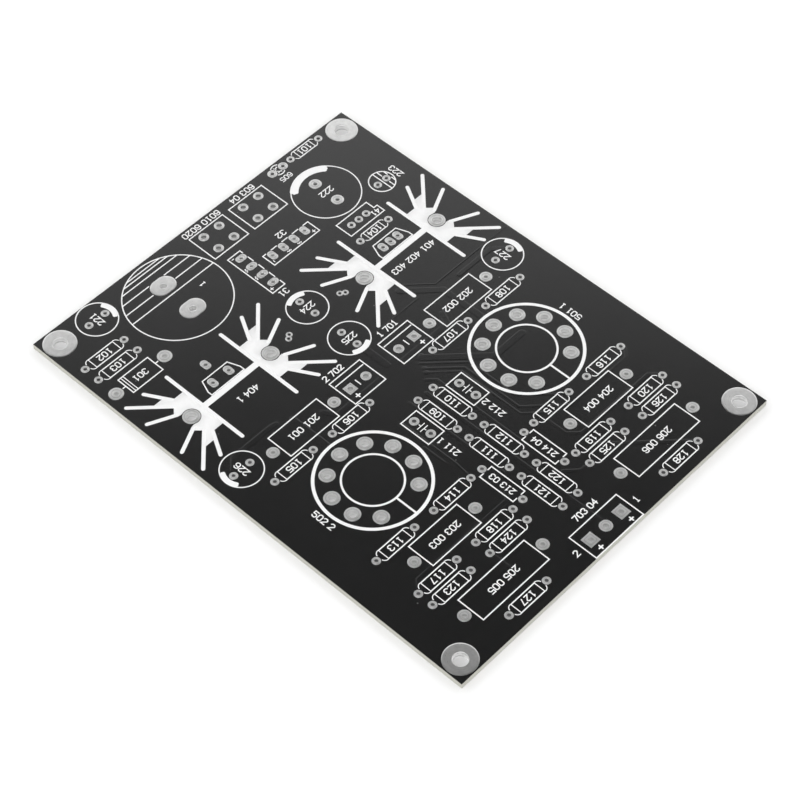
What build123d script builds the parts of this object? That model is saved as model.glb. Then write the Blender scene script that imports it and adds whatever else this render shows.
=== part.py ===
from build123d import *
import os

# A bare circuit board for a two-channel valve preamplifier, lying component side up. Millimetres.
# The origin is under the board's middle, on the surface it rests on. +X runs along the board from the
# power supply to the signal input, +Y towards the left channel, +Z up.

# The board's thickness. Its length and width follow from the layout below: 133.35 by 101.6.
board_thickness = 1.6

# Plated holes are tinned copper rings through the board, a little proud of both faces. There are so
# many that most are drawn with flat sides, which touch the true circle, so that a round pin still fits.
tin_height = 0.05
pin_sides = 8
wire_sides = 6
outline_sides = 24
small_outline_sides = 16

# Mounting holes and heat-sink pegs
mounting_hole = 3.5
mounting_ring = 8.1
mounting_inset = 4.35
peg_hole = 2.3
peg_pad = 4.2
peg_spacing = 25.0

# Pads and their holes
resistor_hole = 0.9
resistor_pad = 2.1
capacitor_hole = 1.0
film_pad = 3.1
plate_pad = 2.4
smoothing_pad = 3.2
terminal_hole = 1.3
terminal_pad = 2.6
input_pad = 3.15
diode_pad = 3.6
lamp_pad = 2.5
link_hole = 0.6
link_pad = 1.65
reservoir_hole = 1.8
reservoir_pad_length = 6.7
reservoir_pad_width = 5.2
oval_pad_length = 3.0
oval_pad_width = 2.0

# Valve sockets: pins on a circle of ten places, of which one stays empty
valve_hole = 1.9
valve_pad = 3.85
valve_pin_circle = 20.4
valve_places = 10

# Lead spacings, and the spacing of the two resistors in a column
resistor_leads = 12.0
short_resistor_leads = 9.64
channel_resistor_spacing = 18.1
electrolytic_leads = 5.0
smoothing_leads = 7.5
small_round_leads = 3.0
film_leads = 19.4
input_film_leads = 25.0
plate_leads = 5.08
long_capacitor_leads = 12.0
bridge_leads = 3.58
regulator_leads = 2.54
wide_regulator_leads = 5.0
terminal_leads = 5.08
reservoir_leads = 10.0
diode_leads = 15.0
lamp_leads = 3.6

# White print. Boxes are measured to the middle of their lines, rings to the outside.
ink_height = 0.05
ink_line = 0.3
ink_clearance = 0.15
resistor_body_length = 7.45
resistor_body_width = 3.05
short_body_length = 5.15
short_body_width = 2.6
film_body_length = 15.3
film_body_width = 7.25
input_film_length = 21.0
plate_body_length = 8.5
plate_body_width = 5.1
plate_gap = 0.65
plate_symbol_width = 2.4
long_body_length = 9.8
long_body_width = 3.9
electrolytic_diameter = 10.3
electrolytic_arc = 1.45
smoothing_diameter = 17.4
smoothing_arc = 1.9
small_round_diameter = 6.9
lamp_diameter = 3.7
valve_outer_ring = 27.3
valve_outer_line = 0.8
valve_inner_ring = 14.6
valve_inner_line = 0.5
power_box_length = 9.0
power_box_width = 11.0
output_box_length = 8.3
output_box_width = 9.85
output_box_shift = 0.2
output_box_lip = 1.6
input_box_length = 7.8
input_box_width = 15.7
bridge_box_length = 15.1
bridge_box_width = 4.0
bridge_end_shift = 0.3
bridge_side_shift = 0.57
diode_box_length = 9.1
diode_box_width = 5.2
diode_bands = (0.75, 1.45)
trimmer_box_length = 10.3
trimmer_box_width = 5.0
regulator_depth = 4.4
regulator_width = 10.2
regulator_front_width = 7.8
regulator_side = 1.25
regulator_lead_depth = 2.4

# The reservoir capacitor's hatch lines, by the angle at which each meets the circle
reservoir_diameter = 26.5
reservoir_hatching = (7, 20.5, 34, 47.5, 57.5, 66)

# Heat sinks seen from above. A quarter of the figure runs from its middle to the outline of the web
# and the centre line of each fin, which ends at the figure's overall size.
sink_width = 26.0
sink_length = 42.6
sink_bar_reach = 12.7
sink_bar_row = 8.55
sink_stem = 1.5
sink_block_reach = 6.5
sink_block_row = 11.6
sink_web = ((8.4, 12.95), (8.4, 16.6), (4.6, 13.6), (3.3, 14.8), (2.05, 14.1))
sink_fin = 0.95
sink_fins = (((6.37, 12.06), (14.0, 16.34)), ((4.9, 13.25), (14.0, 22.35)), ((2.62, 14.35), (6.4, 22.35)))

# Room between neighbours along the board, edge to edge, from the supply end to the input end
reservoir_margin = 0.8
reservoir_sink_gap = 1.55
sink_film_gap = 3.95
film_anode_gap = 0.8
anode_valve_gap = 0.25
valve_cathode_gap = 0.2
cathode_film_gap = 1.0
film_grid_gap = 1.05
grid_gap = 1.05
grid_input_gap = 1.6
input_gap = 1.65
input_margin = 4.175

# Room across the board, from the middle line outwards
lying_row_gap = 1.95
plate_row_gap = 0.9
long_row_gap = 1.0
channel_gap = 1.35
electrolytic_sink_gap = 1.55
sink_margin = 1.5

# Room in the middle, and beside the film capacitors
output_row_gap = 6.1
output_lying_gap = 8.45
lying_gap = 1.45
output_electrolytic_gap = 1.0
electrolytic_gap = 3.25
sink_electrolytic_gap = 0.6
film_electrolytic_gap = 1.2

# Room beside the heat sinks, and the wire links' places from the middle of their heat sink
regulator_short_gap = 1.95
short_trimmer_gap = 1.35
sink_diode_gap = 1.55
diode_resistor_gap = 1.8
supply_resistor_gap = 1.45
left_links = ((-0.2, -18.7), (-0.95, -19.8))
right_links = ((-0.77, 19.3), (0.0, 18.35))

# Room in the power supply
corner_electrolytic_gap = 1.5
electrolytic_margin = 0.1
diode_margin = 1.4
supply_resistor_margin = 2.15
resistor_reservoir_gap = 3.0
reservoir_power_gap = 0.85
power_margin = 3.0
power_gap = 2.1
power_bridge_gap = 2.35
reservoir_bridge_gap = 2.6
bridge_gap = 2.45
bridge_smoothing_gap = 1.3
trimmer_smoothing_gap = 0.75
small_round_gap = 1.7
small_round_bearing = 57
corner_short_gap = 0.85
short_margin = 0.8
short_lamp_gap = 0.55
lamp_margin = 1.05

board_top = tin_height + board_thickness
tin_top = board_top + tin_height
channels = (1, -1)

os.makedirs("parts", exist_ok=True)


def beside(first, gap, second):
    """From one part's middle to the next one's, by their widths and the gap between them."""
    return first / 2 + gap + second / 2


def at(x, y):
    """A place by its distances from the supply end and the middle line."""
    return (x - board_length / 2, y)


def both(x, y):
    """A place in the left channel and its mirror image in the right one."""
    return [at(x, side * y) for side in channels]


def save(node, solids):
    """Write one sub-part, as one solid or as a group of separate solids."""
    shape = Compound(children=list(solids))
    shape.label = node
    export_step(shape, f"parts/{node}.step")


def copies(shape, places, turn=0):
    """The shape turned and set at each place. A place may hold an angle of its own."""
    return [shape.moved(Location((x, y, 0), (0, 0, turn + sum(own)))) for x, y, *own in places]


def leads(middles, spacing, count=2, angle=0):
    """Places in a row at an angle, about each of several middles."""
    found = []
    for x, y in middles:
        for i in range(count):
            step = Vector((i - (count - 1) / 2) * spacing, 0).rotate(Axis.Z, angle)
            found.append((x + step.X, y + step.Y))
    return found


def flat_circle(diameter, sides):
    """A many-sided outline whose flats touch the circle."""
    return RegularPolygon(diameter / 2, sides, major_radius=False, rotation=180 / sides)


def flat_oval(length, width):
    """An oblong outline, its length along X, with its ends cut like a regular octagon's."""
    return chamfer(Rectangle(length, width).vertices(), width * (1 - 0.5**0.5))


drilled = []
kept_clear = []


def plated(node, outline, bore, places, turn=0):
    """Tinned rings of one outline with a bore through the board, one at each place."""
    save(node, copies(extrude(outline - bore, tin_top), places, turn))
    drilled.extend(copies(outline, places, turn))
    kept_clear.extend(copies(offset(outline, ink_clearance, kind=Kind.INTERSECTION), places, turn))


def pins(node, pad, hole, places):
    """Plated holes for pins."""
    plated(node, flat_circle(pad, pin_sides), flat_circle(hole, pin_sides), places)


def wires(node, pad, hole, places):
    """Smaller plated holes for wire leads."""
    plated(node, flat_circle(pad, wire_sides), flat_circle(hole, wire_sides), places)


# Columns of the channels, from the supply end, which add up to the board's length
reservoir_x = reservoir_margin + reservoir_diameter / 2
sink_x = reservoir_x + beside(reservoir_diameter, reservoir_sink_gap, sink_width)
film_x = sink_x + beside(sink_width, sink_film_gap, film_body_width)
anode_x = film_x + beside(film_body_width, film_anode_gap, resistor_body_width)
valve_x = anode_x + beside(resistor_body_width, anode_valve_gap, valve_outer_ring)
cathode_x = valve_x + beside(valve_outer_ring, valve_cathode_gap, resistor_body_width)
second_film_x = cathode_x + beside(resistor_body_width, cathode_film_gap, film_body_width)
grid_x = second_film_x + beside(film_body_width, film_grid_gap, resistor_body_width)
second_grid_x = grid_x + beside(resistor_body_width, grid_gap, resistor_body_width)
input_film_x = second_grid_x + beside(resistor_body_width, grid_input_gap, film_body_width)
input_x = input_film_x + beside(film_body_width, input_gap, resistor_body_width)
board_length = input_x + input_margin

# Rows, from the middle line, which add up to half of the board's width
lying_y = (resistor_body_width + lying_row_gap) / 2
plate_y = lying_y + beside(resistor_body_width, plate_row_gap, plate_body_width)
long_y = lying_y + beside(resistor_body_width, long_row_gap, long_body_width)
channel_y = long_y + resistor_pad + channel_gap + (channel_resistor_spacing + resistor_leads) / 2
sink_y = beside(electrolytic_diameter, electrolytic_sink_gap, sink_length)
edge_y = sink_y + sink_length / 2 + sink_margin
board_width = 2 * edge_y

# Mounting holes and heat-sink pegs
corner_x = board_length / 2 - mounting_inset
corner_y = edge_y - mounting_inset
corners = [(x, y) for x in (-corner_x, corner_x) for y in (-corner_y, corner_y)]
plated("mounting_hole_rings", flat_circle(mounting_ring, outline_sides), Circle(mounting_hole / 2), corners)
sinks = both(sink_x, sink_y)
pins("heat_sink_peg_pads", peg_pad, peg_hole, leads(sinks, peg_spacing, angle=90))

# Valve sockets, the empty place facing the signal input
valves = both(valve_x, channel_y)
pin_angles = [360 * i / valve_places for i in range(1, valve_places)]
pin_steps = [Vector(valve_pin_circle / 2, 0).rotate(Axis.Z, angle) for angle in pin_angles]
for channel, (x, y) in zip(("left", "right"), valves):
    socket_pins = [(x + step.X, y + step.Y) for step in pin_steps]
    pins(f"valve_socket_pads_{channel}", valve_pad, valve_hole, socket_pins)

# Film capacitors beside the valves, and the outputs beside them
films = both(film_x, channel_y) + both(second_film_x, channel_y)
input_films = both(input_film_x, channel_y)
film_holes = leads(films, film_leads, angle=90) + leads(input_films, input_film_leads, angle=90)
pins("film_capacitor_pads", film_pad, capacitor_hole, film_holes)
outputs = both(film_x, beside(output_box_width, output_row_gap, output_box_width) / 2)
output_box_x = film_x - output_box_shift

# Resistors in the channels, upright, and along the middle, lying
upright = both(input_x, channel_y)
for x in (anode_x, cathode_x, grid_x, second_grid_x):
    upright += leads(both(x, channel_y), channel_resistor_spacing, angle=90)
first_lying_x = output_box_x + beside(output_box_length, output_lying_gap, resistor_leads + resistor_pad)
lying_step = resistor_leads + resistor_pad + lying_gap
lying = [place for i in range(3) for place in both(first_lying_x + i * lying_step, lying_y)]
wires("channel_resistor_pads", resistor_pad, resistor_hole, leads(upright, resistor_leads, angle=90))
wires("middle_resistor_pads", resistor_pad, resistor_hole, leads(lying, resistor_leads))

# Small capacitors between the channels
plate_capacitors = both(first_lying_x, plate_y)
long_capacitors = both(second_film_x, long_y)
pins("plate_capacitor_pads", plate_pad, capacitor_hole, leads(plate_capacitors, plate_leads))
wires("long_capacitor_pads", resistor_pad, resistor_hole, leads(long_capacitors, long_capacitor_leads))

# Regulators, with their backs to the heat sinks' stems. One has its legs in a row, the other has its
# middle leg bent forward.
stem_room = sink_stem / 2 + ink_clearance + ink_line / 2
regulator_x = sink_x - stem_room - regulator_lead_depth
regulators = both(regulator_x, sink_y)
bent_leg = (regulators[1][0] - wide_regulator_leads, regulators[1][1])
regulator_holes = leads(regulators[:1], regulator_leads, 3, 90)
regulator_holes += leads(regulators[1:], wide_regulator_leads, angle=90)
oval = flat_oval(oval_pad_length, oval_pad_width)
oval_bore = flat_circle(resistor_hole, pin_sides)
plated("regulator_pads", oval, oval_bore, regulator_holes + [bent_leg])

# In front of the left regulator, a short resistor and the trimmer
regulator_front_x = regulator_x + regulator_lead_depth - regulator_depth
voltage_resistor_x = regulator_front_x - beside(0, regulator_short_gap, short_body_width)
trimmer_x = voltage_resistor_x - beside(short_body_width, short_trimmer_gap, trimmer_box_width)
trimmer = at(trimmer_x, sink_y)
wires("trimmer_pads", resistor_pad, resistor_hole, leads([trimmer], regulator_leads, 3, 90))

# Beside the right heat sink, the diode and the supply's upright resistors
diode_x = sink_x - beside(sink_width, sink_diode_gap, diode_box_width)
supply_resistor_x = diode_x - beside(diode_box_width, diode_resistor_gap, resistor_body_width)
second_supply_x = supply_resistor_x - beside(resistor_body_width, supply_resistor_gap, resistor_body_width)
supply_resistor_y = supply_resistor_margin + (resistor_pad + resistor_leads) / 2 - edge_y
diode = at(diode_x, diode_margin + (diode_pad + diode_leads) / 2 - edge_y)
supply_upright = [at(supply_resistor_x, supply_resistor_y), at(second_supply_x, supply_resistor_y)]
pins("diode_pads", diode_pad, terminal_hole, leads([diode], diode_leads, angle=90))

# Reservoir capacitor, beyond those resistors
supply_resistor_end = supply_resistor_y + (resistor_leads + resistor_pad) / 2
reservoir_y = supply_resistor_end + resistor_reservoir_gap + reservoir_diameter / 2
reservoir_top = reservoir_y + reservoir_diameter / 2
reservoir = at(reservoir_x, reservoir_y)
reservoir_pad = flat_oval(reservoir_pad_length, reservoir_pad_width)
reservoir_bore = flat_circle(reservoir_hole, pin_sides)
plated("reservoir_pads", reservoir_pad, reservoir_bore, leads([reservoir], reservoir_leads), 90)

# Bridge rectifiers: four oblong pads in a row, to one side of their box, lying and upright
power_x = power_margin + power_box_length / 2
bridge_x = power_x + beside(power_box_length, power_bridge_gap, bridge_box_length)
bridge_y = reservoir_top + reservoir_bridge_gap + bridge_box_width / 2
upright_bridge_x = bridge_x - bridge_end_shift
upright_bridge_y = bridge_y + beside(bridge_box_width, bridge_gap, bridge_box_length)
lying_bridge = (*at(bridge_x, bridge_y), 0)
upright_bridge = (*at(upright_bridge_x, upright_bridge_y), 90)
bridge_holes = []
for x, y, turn in (lying_bridge, upright_bridge):
    shift = Vector(-bridge_end_shift, bridge_side_shift).rotate(Axis.Z, turn)
    row = leads([(x + shift.X, y + shift.Y)], bridge_leads, 4, turn)
    bridge_holes += [(*place, turn + 90) for place in row]
plated("bridge_pads", oval, oval_bore, bridge_holes)

# Short resistor and lamp at the end of the board
short_x = short_margin + short_body_width / 2
corner_ring_edge = corner_y - mounting_ring / 2
short_y = corner_ring_edge - corner_short_gap - (resistor_pad + short_resistor_leads) / 2
lamp_y = short_y - beside(short_resistor_leads + resistor_pad, short_lamp_gap, lamp_leads + lamp_pad)
lamp = at(lamp_margin + lamp_pad / 2, lamp_y)
short = [at(short_x, short_y), at(voltage_resistor_x, sink_y)]
wires("lamp_pads", lamp_pad, resistor_hole, leads([lamp], lamp_leads, angle=90))
supply_holes = leads(supply_upright, resistor_leads, angle=90) + leads(short, short_resistor_leads, angle=90)
wires("supply_resistor_pads", resistor_pad, resistor_hole, supply_holes)

# Smoothing capacitors beyond the upright bridge, the small one on a bearing from the large one
smoothing_x = trimmer_x - beside(trimmer_box_width, trimmer_smoothing_gap, smoothing_diameter)
smoothing_y = upright_bridge_y + beside(bridge_box_length, bridge_smoothing_gap, smoothing_diameter)
small_round_distance = beside(smoothing_diameter, small_round_gap, small_round_diameter)
small_round_step = Vector(small_round_distance, 0).rotate(Axis.Z, small_round_bearing)
smoothing = at(smoothing_x, smoothing_y)
small_round = at(smoothing_x + small_round_step.X, smoothing_y + small_round_step.Y)
small_round_holes = leads([small_round], small_round_leads, angle=90)
pins("smoothing_capacitor_pads", smoothing_pad, capacitor_hole, leads([smoothing], smoothing_leads))
wires("small_round_capacitor_pads", resistor_pad, resistor_hole, small_round_holes)

# Electrolytic capacitors, each with the direction of its marked lead
edge_electrolytic_x = sink_x + beside(sink_width, sink_electrolytic_gap, electrolytic_diameter)
film_end = channel_y + (film_leads + film_pad) / 2
edge_electrolytic_y = film_end + film_electrolytic_gap + electrolytic_diameter / 2
corner_electrolytic_y = corner_ring_edge - corner_electrolytic_gap - electrolytic_diameter / 2
output_box_edge = output_box_x - output_box_length / 2
middle_electrolytic_x = output_box_edge - output_electrolytic_gap - electrolytic_diameter / 2
electrolytics = [
    (*at(edge_electrolytic_x, edge_electrolytic_y), 90),
    (*at(edge_electrolytic_x, -edge_electrolytic_y), -90),
    (*at(electrolytic_margin + electrolytic_diameter / 2, -corner_electrolytic_y), 90),
    (*at(middle_electrolytic_x, 0), 0),
    (*at(middle_electrolytic_x - electrolytic_diameter - electrolytic_gap, 0), 180),
]
electrolytic_holes = []
for x, y, facing in electrolytics:
    electrolytic_holes += leads([(x, y)], electrolytic_leads, angle=facing)
wires("electrolytic_pads", resistor_pad, resistor_hole, electrolytic_holes)

# Wire links at the inner ends of the heat sinks
links = [at(sink_x + x, sink_y + y) for x, y in left_links]
links += [at(sink_x + x, y - sink_y) for x, y in right_links]
wires("link_pads", link_pad, link_hole, links)

# Terminals: round pads for ground and power, square ones for the signal
mains_y = reservoir_top + reservoir_power_gap + power_box_width / 2
power = [at(power_x, mains_y), at(power_x, mains_y + power_box_width + power_gap)]
signal_input = at(input_x, 0)
terminal_bore = flat_circle(terminal_hole, pin_sides)
power_rows = leads(power, terminal_leads)
output_grounds = [(x, y - side * terminal_leads / 2) for side, (x, y) in zip(channels, outputs)]
output_signals = [(x, y + side * terminal_leads / 2) for side, (x, y) in zip(channels, outputs)]
input_signals = leads([signal_input], 2 * terminal_leads, angle=90)
pins("power_terminal_pads", terminal_pad, terminal_hole, leads(power_rows, terminal_leads, angle=90))
pins("output_ground_pads", terminal_pad, terminal_hole, output_grounds)
plated("output_signal_pads", Rectangle(terminal_pad, terminal_pad), terminal_bore, output_signals)
pins("input_ground_pad", input_pad, terminal_hole, [signal_input])
plated("input_signal_pads", Rectangle(input_pad, input_pad), terminal_bore, input_signals)

# The glass-fibre board, with an opening for every ring
board = extrude(Rectangle(board_length, board_width) - drilled, board_thickness)
save("laminate", [board.moved(Location((0, 0, tin_height)))])


# White print
def ring(outer, line, sides=outline_sides):
    """A round line inside an outer diameter."""
    return flat_circle(outer, sides) - flat_circle(outer - 2 * line, sides)


def outlined(area):
    """A line along the edge of an area."""
    outer = offset(area, ink_line / 2, kind=Kind.INTERSECTION)
    return outer - offset(area, -ink_line / 2, kind=Kind.INTERSECTION)


def box(length, width):
    """A rectangular line."""
    return outlined(Rectangle(length, width))


def bar(start, end, line=ink_line):
    """A straight line from start to end."""
    return trace(Line(start, end), line)


def marked_ring(diameter, line, sides):
    """A round line with a thicker quarter on its +X side, beside the marked lead."""
    quarter = Polygon((0, 0), (diameter, -diameter), (diameter, diameter), align=None)
    thicker = quarter - flat_circle(diameter - 2 * line, sides)
    return flat_circle(diameter, sides) - (flat_circle(diameter - 2 * ink_line, sides) - thicker)


def printed(figure, places, turn=0):
    """The solids of a figure printed at each place, cut back around the pads it would reach."""
    solids = []
    for patch in copies(figure, places, turn):
        reach = patch.bounding_box().diagonal / 2
        middle = patch.bounding_box().center()
        near = [pad for pad in kept_clear if (pad.center() - middle).length < reach + reservoir_pad_length]
        layer = extrude(patch - near, ink_height) if near else extrude(patch, ink_height)
        solids.extend(layer.moved(Location((0, 0, board_top))).solids())
    return solids


# Heat sinks seen from above: a stem between two bars, each bar with a block and six fins
half_pegs = peg_spacing / 2
block = ((0, sink_bar_row), (sink_block_reach, sink_bar_row), (sink_block_reach, sink_block_row))
foot = ((sink_web[-1][0], half_pegs), (0, half_pegs))
quarter = Polygon(*block, *sink_web, *foot, align=None)
quarter += bar((0, sink_bar_row), (sink_bar_reach, sink_bar_row), sink_fin)
quarter += bar((0, 0), (0, sink_bar_row), sink_stem)
for root, tip in sink_fins:
    quarter += bar(root, tip, sink_fin)
quarter &= Rectangle(sink_width, sink_length)
half = quarter + mirror(quarter, Plane.YZ)
save("heat_sink_print", printed(half + mirror(half, Plane.XZ), sinks))

# Valve sockets: two rings and a line across the empty place
spoke = bar((valve_inner_ring / 2 - ink_line, 0), (valve_outer_ring / 2 - ink_line, 0), valve_inner_line)
socket = ring(valve_outer_ring, valve_outer_line) + ring(valve_inner_ring, valve_inner_line) + spoke
save("valve_socket_print", printed(socket, valves))

# Resistors: the outline of the body between its two leads
resistor_body = box(resistor_body_length, resistor_body_width)
short_body = box(short_body_length, short_body_width)
resistor_print = printed(resistor_body, upright + supply_upright, 90)
resistor_print += printed(resistor_body, lying)
resistor_print += printed(short_body, short, 90)
save("resistor_print", resistor_print)

# Film capacitors are boxes between their pads
film_print = printed(box(film_body_length, film_body_width), films, 90)
film_print += printed(box(input_film_length, film_body_width), input_films, 90)
save("film_capacitor_print", film_print)

# Plate capacitors have a box around the pads and two plates between them, the long ones a plain box
plate_figure = box(plate_body_length, plate_body_width)
for side in (1, -1):
    plate_figure += Location((side * plate_gap / 2, 0)) * Rectangle(ink_line, plate_symbol_width)
small_print = printed(plate_figure, plate_capacitors)
small_print += printed(box(long_body_length, long_body_width), long_capacitors)
save("small_capacitor_print", small_print)

# Round capacitors: a circle with a thick arc inside it beside the marked lead
electrolytic_figure = marked_ring(electrolytic_diameter, electrolytic_arc, small_outline_sides)
small_round_figure = ring(small_round_diameter, ink_line, small_outline_sides)
round_print = printed(electrolytic_figure, electrolytics)
round_print += printed(marked_ring(smoothing_diameter, smoothing_arc, outline_sides), [smoothing], 180)
round_print += printed(small_round_figure, [small_round])
save("round_capacitor_print", round_print)

# Reservoir capacitor: a circle with one side hatched
reservoir_figure = ring(reservoir_diameter, ink_line)
for angle in reservoir_hatching:
    end = Vector(0, (reservoir_diameter - ink_line) / 2).rotate(Axis.Z, angle)
    reservoir_figure += bar((end.X, -end.Y), (end.X, end.Y))
save("reservoir_print", printed(reservoir_figure, [reservoir]))

# Terminal boxes, the input's against the board's edge
lip = Location((output_box_lip - output_box_length / 2, 0)) * Rectangle(ink_line, output_box_width)
output_figure = box(output_box_length, output_box_width) + lip
output_boxes = [(x - output_box_shift, y) for x, y in outputs]
input_box_middle = (board_length - input_box_length - ink_line) / 2
terminal_print = printed(box(power_box_length, power_box_width), power)
terminal_print += printed(output_figure, output_boxes)
terminal_print += printed(box(input_box_length, input_box_width), [(input_box_middle, signal_input[1])])
save("terminal_print", terminal_print)

# Bridge rectifiers: a box around each row of pads
save("bridge_print", printed(box(bridge_box_length, bridge_box_width), [lying_bridge, upright_bridge]))

# Regulators: a body with a sloping front, its back against the heat sink's stem
front = regulator_lead_depth - regulator_depth
corner = regulator_lead_depth - regulator_side
back_corner = (regulator_lead_depth, regulator_width / 2)
upper_side = ((front, regulator_front_width / 2), (corner, regulator_width / 2), back_corner)
lower_side = [(x, -y) for x, y in reversed(upper_side)]
regulator_body = make_face(Polyline(*upper_side, *lower_side, close=True))
save("regulator_print", printed(outlined(regulator_body), regulators))

# Diode with its marked end, trimmer and lamp
diode_figure = box(diode_box_length, diode_box_width)
for band in diode_bands:
    place = Location((band - diode_box_length / 2, 0))
    diode_figure += place * Rectangle(ink_line, diode_box_width)
small_figures = printed(diode_figure, [diode], 90)
small_figures += printed(box(trimmer_box_length, trimmer_box_width), [trimmer], 90)
small_figures += printed(ring(lamp_diameter, ink_line, pin_sides), [lamp])
save("small_parts_print", small_figures)
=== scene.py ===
import math

import bmesh
import bpy
from mathutils import Matrix, Vector


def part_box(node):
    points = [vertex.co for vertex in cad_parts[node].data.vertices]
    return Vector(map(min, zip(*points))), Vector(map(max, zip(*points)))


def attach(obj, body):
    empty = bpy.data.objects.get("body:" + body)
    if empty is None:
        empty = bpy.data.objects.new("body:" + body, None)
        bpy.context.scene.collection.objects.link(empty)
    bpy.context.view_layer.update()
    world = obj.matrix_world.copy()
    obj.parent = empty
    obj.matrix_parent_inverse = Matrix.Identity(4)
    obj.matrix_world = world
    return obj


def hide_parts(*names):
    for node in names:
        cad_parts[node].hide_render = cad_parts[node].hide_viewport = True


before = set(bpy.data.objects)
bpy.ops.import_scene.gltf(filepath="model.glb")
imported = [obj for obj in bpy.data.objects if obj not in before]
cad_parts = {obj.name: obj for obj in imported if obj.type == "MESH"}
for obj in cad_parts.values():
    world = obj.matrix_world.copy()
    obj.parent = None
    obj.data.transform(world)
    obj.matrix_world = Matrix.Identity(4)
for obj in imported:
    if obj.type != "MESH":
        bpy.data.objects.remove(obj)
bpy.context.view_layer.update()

# Plated holes. Each is a copper barrel through the drilled board with a ring on both faces. All are
# dipped in tin, which draws back a little from the rings' edges and stands up in a lip round the hole.
mm = 0.001
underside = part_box("laminate")[0][2]
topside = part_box("laminate")[1][2]
pads = []
bores = []

# The tin's section: places from a ring's outer edge at 0 to its barrel at 1, with shares of its height.
tin_height = 0.045 * mm
tin_drawn_back = 0.03 * mm
groove_floor = (0.52, 0.56)
tin_edge = ((0.0, 0.0), (0.04, 0.5), (0.09, 0.8), (0.13, 0.83))
tin_flat = ((0.78, 0.86), (0.82, 0.88))
tin_groove = ((0.42, 0.84), (0.46, 0.82), (0.52, 0.2), (0.56, 0.2), (0.63, 0.9), (0.7, 1.0))
tin_lip = ((0.88, 1.0), (0.95, 0.9), (1.0, 0.6))

tin_dark = (0.4, 0.4, 0.4)
tin_light = (0.8, 0.8, 0.79)
# Painted shade: a near black mixed into the tin colour inside the holes' barrels.
barrel_painted_shade = (0.1, 0.1, 0.1)
# Painted shade on the groove floor round the hole, a share of the same near black.
groove_shade_share = 0.4
same_point = 0.001 * mm


class Shade:
    """An output of a shader node. Arithmetic on it adds the Math nodes it needs."""

    def __init__(self, finish, socket):
        self.finish = finish
        self.socket = socket

    def math(self, operation, first, second):
        return self.finish.node("Math", {"operation": operation}, {0: first, 1: second})

    def __add__(self, other):
        return self.math("ADD", self, other)

    def __sub__(self, other):
        return self.math("SUBTRACT", self, other)

    def __rsub__(self, other):
        return self.math("SUBTRACT", other, self)

    def __mul__(self, other):
        return self.math("MULTIPLY", self, other)

    __radd__ = __add__
    __rmul__ = __mul__


class Finish:
    """A material or a sky with one main shader, and a method that adds any other node."""

    def __init__(self, name, kind="materials", **constants):
        self.material = getattr(bpy.data, kind).new(name)
        self.material.use_nodes = True
        self.tree = self.material.node_tree
        self.main = next(node for node in self.tree.nodes if not node.name.endswith("Output"))
        self.paint(**constants)

    def fill(self, node, values):
        for name, value in values.items():
            socket = node.inputs[name]
            if isinstance(value, Shade):
                self.tree.links.new(value.socket, socket)
            else:
                socket.default_value = value

    def node(self, kind, settings, values, output=0):
        made = self.tree.nodes.new("ShaderNode" + kind)
        for name, value in settings.items():
            if name == "stops":
                for stop, (place, grey) in zip(made.color_ramp.elements, value):
                    stop.position = place
                    stop.color = (grey, grey, grey, 1)
            else:
                setattr(made, name, value)
        self.fill(made, values)
        return Shade(self, made.outputs[output])

    def noise(self, where, scale, detail=2.0):
        return self.node("TexNoise", {}, {"Vector": where, "Scale": scale, "Detail": detail})

    def between(self, share, low, high):
        """A value that follows a share, from low where it is 0 to high where it is 1."""
        return self.node("MapRange", {}, {"Value": share, "To Min": low, "To Max": high})

    def ramp(self, share, low, high):
        """0 below low, 1 above high and even between."""
        return self.node("ValToRGB", {"stops": ((low, 0), (high, 1))}, {"Fac": share})

    def blend(self, share, first, second):
        """A mix of two colours, each a plain one or another node's."""
        colours = [tone if isinstance(tone, Shade) else (*tone, 1) for tone in (first, second)]
        return self.node("Mix", {"data_type": "RGBA"}, {0: share, 6: colours[0], 7: colours[1]}, 2)

    def bump(self, height, strength, depth):
        return self.node("Bump", {}, {"Height": height, "Strength": strength, "Distance": depth})

    def place(self):
        return self.node("TexCoord", {}, {}, "Object")

    def paint(self, **values):
        names = {name.replace("_", " "): value for name, value in values.items()}
        self.fill(self.main, names)


def add(name, points, faces, finishes, nodes):
    """A new piece, which rides on the board and stands for the CAD nodes that it is given."""
    mesh = bpy.data.meshes.new(name)
    mesh.from_pydata(points, [], faces)
    for finish in finishes:
        mesh.materials.append(finish.material)
    piece = bpy.data.objects.new(name, mesh)
    bpy.context.scene.collection.objects.link(piece)
    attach(piece, "root")
    if nodes:
        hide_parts(*nodes)
    return piece


def solids(node):
    """The middle, size and lean of each separate solid in a CAD node."""
    loose = bmesh.new()
    loose.from_mesh(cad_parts[node].data)
    bmesh.ops.remove_doubles(loose, verts=loose.verts, dist=same_point)
    left = set(loose.verts)
    found = []
    while left:
        reached = {left.pop()}
        edge = list(reached)
        while edge:
            near = {side.other_vert(point) for point in edge for side in point.link_edges} & left
            left -= near
            reached |= near
            edge = list(near)
        xs = [point.co.x for point in reached]
        ys = [point.co.y for point in reached]
        x = (min(xs) + max(xs)) / 2
        y = (min(ys) + max(ys)) / 2
        lean = (sum(xs) / len(xs) - x, sum(ys) / len(ys) - y)
        found.append((x, y, max(xs) - min(xs), max(ys) - min(ys), lean))
    loose.free()
    return sorted(found)


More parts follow.
